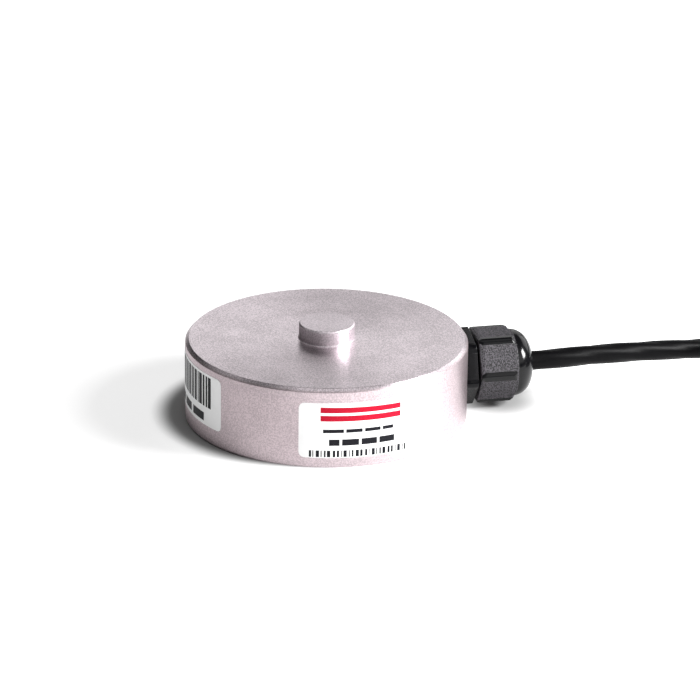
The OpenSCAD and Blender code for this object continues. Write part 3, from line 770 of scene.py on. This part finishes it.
bodyNylon = nylonFinish("glandBodyNylon", {
    "tone": (0.002, 0.002, 0.0025), "pale": (0.01, 0.009, 0.01), "gloss": 0.13, "eroded": 0.3,
})
nutNylon = nylonFinish("glandNutNylon", {
    "tone": (0.002, 0.002, 0.0025), "pale": (0.062, 0.056, 0.066), "gloss": 0.38, "eroded": 1.0,
})
domeNylon = nylonFinish("glandDomeNylon", {
    "tone": (0.003, 0.003, 0.0035), "pale": (0.01, 0.009, 0.01), "gloss": 0.22, "eroded": 0.0,
})


def onDome(middle):
    # the dome, and the polished corners of the nut
    fromAxis = math.hypot(middle.y, middle.z - gland["height"])
    return (middle.x > domeX + gland["domePolish"]
            or fromAxis > gland["acrossFlats"] / 2 + gland["cornerPolish"])


addPiece("glandBody", glandBodyShape(), bodyNylon, ["gland_body"], sharp=40.0)
glandNut = addPiece("glandNut", nutShape(), nutNylon, ["gland_nut"], sharp=50.0)
refinish(glandNut.data, domeNylon, onDome)
print("gland made")


# Body: a turned stainless block in one piece with its load button

body = {
    "radius": 39.0,
    "height": 22.8,
    "topChamfer": 1.0,
    "baseChamfer": 0.5,
    "edge": 0.1,
    "buttonRadius": 7.7,
    "buttonTop": 27.2,
    "buttonBreak": 0.35,
    "buttonEdge": 0.08,
    "footRadius": 0.4,
    "cavityRadius": 22.02,
    "ceiling": 20.4,
    "hubRadius": 8.0,
    "hubEnd": 15.0,
    "rootRadius": 1.0,
    "recessRadius": 30.1,
    "seat": 1.9,
    "grooveIn": 22.97,
    "grooveOut": 24.95,
    "grooveDepth": 1.155,
    "spotRadius": 10.94,
    "spotReach": 6.0,
    "portRadius": 7.65,
    "portDepth": 8.0,
    "portChamfer": 0.5,
    "wayRadius": 4.0,
    "wayLength": 7.4,
    "fixingCount": 3,
    "fixingStart": 60,
    "fixingPitch": 34.0,
    "fixingRadius": 2.1,
    "fixingDepth": 9.0,
    "fixingLead": 0.45,
    "fixingThread": 0.8,
    "threadDepth": 0.4,
    "drillPoint": 59.0,
    "screwCount": 4,
    "screwStart": 45,
    "screwPitch": 27.0,
    "screwHole": 1.3,
    "screwHoleFoot": 1.0,
    "screwHoleEnd": 7.3,
    "around": 360,
}


def steelFinish(name, look):
    # grooves run round the z axis: the same track on the flats and on the sides
    steel = Finish(name, {
        "Metallic": 1.0,
        "Anisotropic": look["stretch"],
        "Anisotropic Rotation": 0.25,
    })
    place = steel.place()
    x, y, z = steel.split(place)
    radius = (x * x + y * y) ** 0.5
    track = radius - z * 1.31
    feed = steel.lineNoise(track, 2.6, 4.0, 0.75)
    bands = steel.lineNoise(track, 0.35, 2.0, 0.5)
    patches = steel.noise(place, 0.09, 3.0, 0.5)
    speckle = steel.noise(place, 2.6, 2.0, 0.7)
    mix = steel.step(feed * 0.15 + patches * 0.15 + speckle * 0.7, 0.42, 0.58)
    side = steel.step(radius, body["radius"] - 0.6, body["radius"] - 0.1)
    # the side wall's base colour is a darker copy of the flats' colour: painted shade
    flats, sides = [steel.blend(tuple(c * look[dark] for c in look[key]), look[key], mix)
                    for key, dark in (("tone", "shade"), ("shadedSideTone", "sideShade"))]
    steel.feed("Base Color", steel.blend(flats, sides, side))
    rough = look["rough"] - 0.1 + 0.1 * feed + 0.04 * bands + 0.08 * speckle
    steel.feed("Roughness", rough + side * look["sideExtra"])
    steel.bump(feed * 0.4 + bands * 0.1 + speckle * 0.5, look["groove"] * mm, 1.0)
    return steel


def threadProfile(minor, major, pitch, start, end):
    points, s = [], start
    while s + pitch < end:
        points += [(minor, s), (minor, s + pitch * 0.15), (major, s + pitch * 0.5), (minor, s + pitch * 0.85)]
        s += pitch
    return points


def upright(pitch, degrees):
    # puts a turned shape on an upright axis that stands off the middle
    a = math.radians(degrees)
    x, y = pitch * math.cos(a), pitch * math.sin(a)
    return lambda r, t, s: (x + r * math.cos(t), y + r * math.sin(t), s)


def bodyCutters():
    # the gland's port with its spot face, the tapped fixings and the cover's screw holes
    b, deep, chamfer = body, -body["portDepth"], body["portChamfer"]
    port = [(0, deep - b["wayLength"]), (b["wayRadius"], deep - b["wayLength"]), (b["wayRadius"], deep),
            (b["portRadius"], deep), (b["portRadius"], -chamfer), (b["portRadius"] + chamfer, 0.0),
            (b["spotRadius"], 0.0), (b["spotRadius"], b["spotReach"]), (0, b["spotReach"])]
    cutters = [revolve(port, 160, onGland)]
    r, lead, depth = b["fixingRadius"], b["fixingLead"], b["fixingDepth"]
    fixing = [(0, -1), (r + lead, -1), (r + lead, 0), (r, lead)]
    fixing += threadProfile(r, r + b["threadDepth"], b["fixingThread"], 0.5, depth - 1)
    fixing += [(r, depth), (0, depth + r / math.tan(math.radians(b["drillPoint"])))]
    for k in range(b["fixingCount"]):
        at = b["fixingStart"] + 360 / b["fixingCount"] * k
        cutters.append(revolve(fixing, 40, upright(b["fixingPitch"], at)))
    r, low, high = b["screwHole"], b["screwHoleFoot"], b["screwHoleEnd"]
    for k in range(b["screwCount"]):
        at = b["screwStart"] + 360 / b["screwCount"] * k
        cutters.append(revolve([(0, low), (r, low), (r, high), (0, high)], 24, upright(b["screwPitch"], at)))
    return cutters


def bodyProfile():
    b, root, foot = body, body["rootRadius"], body["footRadius"]
    grooveTop = b["seat"] + b["grooveDepth"]
    inside = [(0, b["hubEnd"]), (b["hubRadius"], b["hubEnd"])]
    inside += arcPoints(b["hubRadius"] + root, b["ceiling"] - root, root, 180, 90)
    inside += arcPoints(b["cavityRadius"] - root, b["ceiling"] - root, root, 90, 0)
    inside += [(b["cavityRadius"], b["seat"]), (b["grooveIn"], b["seat"]), (b["grooveIn"], grooveTop),
               (b["grooveOut"], grooveTop), (b["grooveOut"], b["seat"]), (b["recessRadius"], b["seat"]),
               (b["recessRadius"], 0)]
    outside = [(b["recessRadius"], 0), (b["radius"] - b["baseChamfer"], 0), (b["radius"], b["baseChamfer"]),
               (b["radius"], b["height"] - b["topChamfer"]), (b["radius"] - b["topChamfer"], b["height"]),
               (b["buttonRadius"] + foot + 0.02, b["height"])]
    footArc = arcPoints(b["buttonRadius"] + foot, b["height"] + foot, foot, 270, 180)
    button = [footArc[-1], (b["buttonRadius"], b["buttonTop"] - b["buttonBreak"]),
              (b["buttonRadius"] - b["buttonBreak"], b["buttonTop"]), (0, b["buttonTop"])]
    return inside + softened(outside, b["edge"])[1:] + footArc[:-1] + softened(button, b["buttonEdge"])


def trueNormals(mesh):
    # exact directions on the turned surfaces, so that the cuts leave no shading marks
    mesh.update()
    level, facing, nearSide = 0.999, 0.98, (body["radius"] - 0.5) * mm
    normals = []
    for polygon in mesh.polygons:
        flat = polygon.normal
        for loop in polygon.loop_indices:
            co = mesh.vertices[mesh.loops[loop].vertex_index].co
            out, lean = Vector((co.x, co.y, 0)), Vector((flat.x, flat.y, 0))
            if abs(flat.z) < level and out.length > nearSide:
                out.normalize()
                if lean.normalized().dot(out) > facing:
                    normals.append(Vector((out.x * lean.length, out.y * lean.length, flat.z)))
                    continue
            normals.append(flat if abs(flat.z) > level else Vector((0, 0, 0)))
    mesh.normals_split_custom_set([tuple(n) for n in normals])


def makeBody():
    # the side wall's tone is darker than the flats': painted shade
    steel = steelFinish("turnedSteel", {
        "tone": (0.766, 0.682, 0.723), "shade": 0.575, "shadedSideTone": (0.61, 0.515, 0.543), "sideShade": 0.7,
        "rough": 0.32, "sideExtra": 0.11, "stretch": 0.6, "groove": 0.011,
    })
    buttonSteel = steelFinish("buttonSteel", {
        "tone": (0.76, 0.685, 0.725), "shade": 0.7, "shadedSideTone": (0.7, 0.63, 0.66), "sideShade": 0.7,
        "rough": 0.39, "sideExtra": 0.0, "stretch": 0.1, "groove": 0.011,
    })
    housing = addPiece("loadCellBody", [revolve(bodyProfile(), body["around"])], steel,
                       ["housing"], sharp=20.0)
    cutter = addPiece("cutter", bodyCutters(), steel)
    cut = housing.modifiers.new("holes", "BOOLEAN")
    cut.operation, cut.solver, cut.object = "DIFFERENCE", "EXACT", cutter
    bpy.context.view_layer.update()
    made = bpy.data.meshes.new_from_object(housing.evaluated_get(bpy.context.evaluated_depsgraph_get()))
    housing.modifiers.clear()
    housing.data = made
    bpy.data.objects.remove(cutter)
    made.polygons.foreach_set("use_smooth", [True] * len(made.polygons))
    refinish(made, buttonSteel, lambda middle: middle.z > body["height"] + 0.02)
    made.set_sharp_from_angle(angle=math.radians(20))
    trueNormals(made)
    print("body cut, faces:", len(made.polygons))


makeBody()


# Labels, wrapped onto the side, with plain stripes and bars for their print

labels = {
    "skin": 0.09,
    "ink": 0.012,
    "inkSink": 0.01,
    "corner": 1.6,
    "front": {"at": 271.5, "width": 34.0, "height": 15.8, "middle": 10.95},
    "side": {"at": 180.0, "width": 41.5, "height": 15.1, "middle": 12.55},
    # print from one azimuth to another, between two heights, with the heights at the end if they differ
    "stripes": [(-104.8, -71.8, 16.1, 17.7, 15.8, 17.3), (-104.8, -71.8, 13.7, 15.3, 13.4, 15.0)],
    "frontLines": [
        (-103.8, -95.5, 10.3, 11.3), (-94.6, -88.0, 10.3, 11.3),
        (-87.0, -80.5, 10.3, 11.3), (-79.6, -75.0, 10.3, 11.3),
        (-101.4, -97.2, 6.6, 8.4), (-96.2, -89.4, 6.6, 8.4),
        (-88.4, -82.0, 6.6, 8.4), (-81.0, -74.5, 6.6, 8.4),
    ],
    "frontBars": {
        "start": -109.3, "end": -69.4, "limit": -68.0, "low": 3.3, "high": 5.2,
        "widths": (0.9, 0.35, 1.3, 0.4, 0.7, 1.3, 1.0), "gaps": (0.5, 1.0, 0.6, 0.9),
    },
    "sideLines": [
        (-204, -196, 6.0, 8.4), (-194, -184, 6.0, 8.4), (-182, -173, 6.0, 8.4), (-171, -161, 6.0, 8.4),
    ],
    "sideBars": {
        "start": -205.0, "end": -155.6, "limit": -155.2, "low": 10.4, "high": 19.4,
        "widths": (1.2, 2.0, 0.8, 2.4, 1.4), "gaps": (0.7, 0.9, 0.5),
    },
}


def onSide(radius, along, height):
    a = along / body["radius"]
    return (radius * math.cos(a), radius * math.sin(a), height)


def wrapped(start, end, lowAt, highAt, inner, outer, step=0.4):
    # a thin patch that follows the side. start and end are lengths of arc
    count = max(2, int((end - start) / step))
    rings = []
    for i in range(count + 1):
        u = start + (end - start) * i / count
        corners = ((inner, lowAt(u)), (outer, lowAt(u)), (outer, highAt(u)), (inner, highAt(u)))
        rings.append([onSide(radius, u, height) for radius, height in corners])
    return loft(rings, capped=True)


def roundedPatch(start, end, low, high, corner, inner, outer):
    def cut(u):
        near = min(u - start, end - u)
        return 0.0 if near >= corner else corner - math.sqrt(max(0.0, corner ** 2 - (corner - near) ** 2))
    return wrapped(start, end, lambda u: low + cut(u), lambda u: high - cut(u), inner, outer, 0.2)


def azimuth(degrees):
    return math.radians(degrees % 360) * body["radius"]


def inkBar(startAt, endAt, low, high, lowEnd=None, highEnd=None):
    # startAt and endAt are azimuths in degrees; the bar may taper from its start to its end
    start, end = azimuth(startAt), azimuth(endAt)
    lowEnd, highEnd = low if lowEnd is None else lowEnd, high if highEnd is None else highEnd
    line = lambda first, second: lambda u: first + (second - first) * (u - start) / (end - start)
    base = body["radius"] + labels["skin"]
    return wrapped(start, end, line(low, lowEnd), line(high, highEnd),
                   base - labels["inkSink"], base + labels["ink"])


def inkBars(row):
    # upright bars side by side, in widths and gaps that repeat
    bars, at, k = [], row["start"], 0
    while at < row["end"]:
        width, gap = row["widths"][k % len(row["widths"])], row["gaps"][k % len(row["gaps"])]
        bars.append(inkBar(at, min(at + width, row["limit"]), row["low"], row["high"]))
        at += width + gap
        k += 1
    return bars


def filmFinish():
    film = Finish("labelFilm", {"Roughness": 0.38, "Specular IOR Level": 0.5})
    place = film.place()
    cloud = film.noise(place, 0.3, 2.0)
    grain = film.noise(place, 6.0, 3.0, 0.6)
    film.feed("Base Color", film.blend((0.80, 0.80, 0.80), (0.86, 0.86, 0.86), cloud))
    film.feed("Roughness", 0.3 + 0.16 * grain)
    film.bump(grain, 0.01 * mm, 0.5)
    return film


def inkFinish(name, colour, fade):
    ink = Finish(name, {"Roughness": 0.4, "Specular IOR Level": 0.1})
    grain = ink.noise(ink.place(), 8.0, 3.0, 0.6)
    ink.feed("Base Color", ink.blend(colour, fade, ink.step(grain, 0.45, 0.75)))
    ink.feed("Roughness", 0.34 + 0.14 * grain)
    return ink


def makeLabels():
    film = filmFinish()
    inner, outer = body["radius"], body["radius"] + labels["skin"]
    for name in ("front", "side"):
        look = labels[name]
        middle, halfWidth, halfHeight = azimuth(look["at"]), look["width"] / 2, look["height"] / 2
        patch = roundedPatch(middle - halfWidth, middle + halfWidth, look["middle"] - halfHeight,
                             look["middle"] + halfHeight, labels["corner"], inner, outer)
        addPiece(name + "LabelFilm", [patch], film, [name + "_label"], sharp=40.0)
    red = inkFinish("printRed", (0.42, 0.001, 0.018), (0.48, 0.02, 0.05))
    dark = inkFinish("printDark", (0.006, 0.006, 0.009), (0.02, 0.02, 0.024))
    stripes = [inkBar(*stripe) for stripe in labels["stripes"]]
    frontRows = [inkBar(*line) for line in labels["frontLines"]] + inkBars(labels["frontBars"])
    sideRows = inkBars(labels["sideBars"]) + [inkBar(*line) for line in labels["sideLines"]]
    addPiece("frontLabelBlock", stripes, red, sharp=40.0)
    addPiece("frontLabelRows", frontRows, dark, sharp=40.0)
    addPiece("sideLabelRows", sideRows, dark, sharp=40.0)
    print("labels made")


makeLabels()


# Finishes of the pieces that keep their CAD shape

def plainFinish(name, tone, shade, rough, grainScale=5.0, bumpDepth=0.01, metal=0.0, gloss=0.5):
    plain = Finish(name, {"Roughness": rough, "Metallic": metal, "Specular IOR Level": gloss})
    place = plain.place()
    cloud = plain.noise(place, 0.6, 2.0)
    grain = plain.noise(place, grainScale, 3.0, 0.6)
    plain.feed("Base Color", plain.blend(shade, tone, cloud))
    plain.feed("Roughness", rough - 0.06 + 0.12 * grain)
    plain.bump(grain, bumpDepth * mm, 0.6)
    return plain


coverSteel = steelFinish("facedSteel", {
    "tone": (0.62, 0.57, 0.59), "shade": 0.85, "shadedSideTone": (0.62, 0.57, 0.59), "sideShade": 0.85,
    "rough": 0.34, "sideExtra": 0.0, "stretch": 0.6, "groove": 0.005,
})
rubber = plainFinish("sealRubber", (0.022, 0.022, 0.022), (0.014, 0.014, 0.014), 0.6)
nodeFinishes = {
    "base_cover": coverSteel,
    "cover_screws": plainFinish("screwSteel", (0.5, 0.49, 0.5), (0.4, 0.39, 0.4), 0.32, 6.0, 0.006, 1.0),
    "cover_o_ring": rubber,
    "gland_washer": rubber,
    "gland_seal": rubber,
    "board_pad": plainFinish("padFoam", (0.72, 0.71, 0.66), (0.6, 0.59, 0.55), 0.85, 2.5, 0.08),
    "terminal_board": plainFinish("boardLacquer", (0.012, 0.12, 0.045), (0.01, 0.09, 0.035), 0.3, 3.0),
    "bridge_resistors": plainFinish("chipBody", (0.02, 0.02, 0.022), (0.012, 0.012, 0.013), 0.45),
    "gauge_wires": plainFinish("enamelWire", (0.36, 0.07, 0.02), (0.28, 0.05, 0.015), 0.25),
    "core_red": wireFinish("innerRed", "red"),
    "core_black": wireFinish("innerBlack", "black"),
    "core_green": wireFinish("innerGreen", "green"),
    "core_white": wireFinish("innerWhite", "white"),
    "core_shield": tinnedFinish("innerShield"),
    "coil_ties": plainFinish("tieNylon", (0.01, 0.01, 0.011), (0.006, 0.006, 0.007),
                             0.38, 3.0, 0.02, gloss=0.2),
    "end_sleeve": plainFinish("shrinkSleeve", (0.01, 0.01, 0.011), (0.007, 0.007, 0.008),
                              0.5, 2.0, 0.03, gloss=0.2),
}
gaugeFoil = plainFinish("gaugeFoil", (0.55, 0.33, 0.1), (0.45, 0.26, 0.07), 0.35, 8.0, 0.004)
for node in ("gauge_inner_a", "gauge_inner_b", "gauge_outer_a", "gauge_outer_b"):
    nodeFinishes[node] = gaugeFoil
for node, finish in nodeFinishes.items():
    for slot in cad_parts[node].material_slots:
        slot.material = finish.material
print("finishes given")


# Floor, with painted glow and painted shadows, and studio light

studio = {
    "floorReach": 6.0,
    "floorTone": 0.3,
    "floorGlow": 1.8,               # the floor glows with painted light, though it is no lamp
    "glowLow": 0.4,                 # share of the glow at its weak end
    "glowWay": (0.766, -0.643),     # the direction in which the painted glow grows, towards the right front
    "glowAlong": (-40.0, 85.0),     # and how far along it the growth starts and ends
    "paintedShadows": [                      # painted shadow where cell and gland stand over it: middle, dark to, fully lit from
        (-6.0, 3.0, 36.0, 43.0),
        (50.0, 0.0, 3.0, 22.0),
    ],
    "world": 0.02,
    "lights": {                     # azimuth, elevation, distance, width, height, brightness
        "key": (-23, 31, 1.6, 0.5, 0.6, 72.0),
        "keyFill": (-58, 26, 1.8, 1.4, 0.8, 1.7),
        "sideRight": (30, 22, 1.6, 1.0, 0.8, 2.2),
        "backPanel": (76, 24, 1.6, 1.3, 0.9, 1.05),
        "front": (-98, 24, 2.2, 1.0, 0.9, 0.7),
        "leftHigh": (145, 44, 1.7, 1.3, 0.5, 0.6),
        "overLeft": (-165, 62, 1.5, 1.1, 0.9, 0.3),
        "overhead": (-95, 68, 1.5, 1.2, 0.9, 1.1),
    },
}


def paintedLightFloorFinish():
    paintedFloor = Finish("floorPaperPaintedLight", {
        "Roughness": 0.9, "Specular IOR Level": 0.2, "Emission Strength": studio["floorGlow"],
    })
    place = paintedFloor.place()
    cloud = paintedFloor.noise(place, 0.02, 2.0)
    tone = studio["floorTone"]
    paintedFloor.feed("Base Color", paintedFloor.blend((tone,) * 3, (tone * 0.99,) * 3, cloud))
    x, y, _ = paintedFloor.split(place)
    # the floor's glow is painted light, brighter towards the right front
    wayX, wayY = studio["glowWay"]
    paintedLight = paintedFloor.step(x * wayX + y * wayY, *studio["glowAlong"], studio["glowLow"], 1.0)
    # painted shadow: the glow fades out round the cell and under the gland
    for middleX, middleY, start, full in studio["paintedShadows"]:
        paintedLight = paintedLight * paintedFloor.step(((x - middleX) ** 2.0 + (y - middleY) ** 2.0) ** 0.5, start, full)
    paintedFloor.feed("Emission Color", paintedFloor.blend((0.0, 0.0, 0.0), (1.0, 1.0, 1.0), paintedLight))
    return paintedFloor


def makeStudio():
    mesh = bpy.data.meshes.new("studioFloor")
    reach, drop = studio["floorReach"], -0.05 * mm
    corners = [(-reach, -reach, drop), (reach, -reach, drop), (reach, reach, drop), (-reach, reach, drop)]
    mesh.from_pydata(corners, [], [[0, 1, 2, 3]])
    mesh.materials.append(paintedLightFloorFinish().material)
    floor = bpy.data.objects.new("studioFloor", mesh)
    scene.collection.objects.link(floor)
    world = bpy.data.worlds.new("studioWorld")
    world.use_nodes = True
    world.node_tree.nodes["Background"].inputs["Color"].default_value = asColour((studio["world"],) * 3)
    scene.world = world
    scene.view_settings.view_transform = "Standard"
    for name, (at, lift, distance, width, height, bright) in studio["lights"].items():
        data = bpy.data.lights.new(name, "AREA")
        data.shape, data.size, data.size_y = "RECTANGLE", width, height
        data.energy = bright * math.pi * width * height
        lamp = bpy.data.objects.new(name, data)
        a, e = math.radians(at), math.radians(lift)
        away = Vector((math.cos(a) * math.cos(e), math.sin(a) * math.cos(e), math.sin(e)))
        lamp.location = away * distance
        lamp.rotation_euler = (-away).to_track_quat("-Z", "Y").to_euler()
        scene.collection.objects.link(lamp)


makeStudio()
print("studio lit")
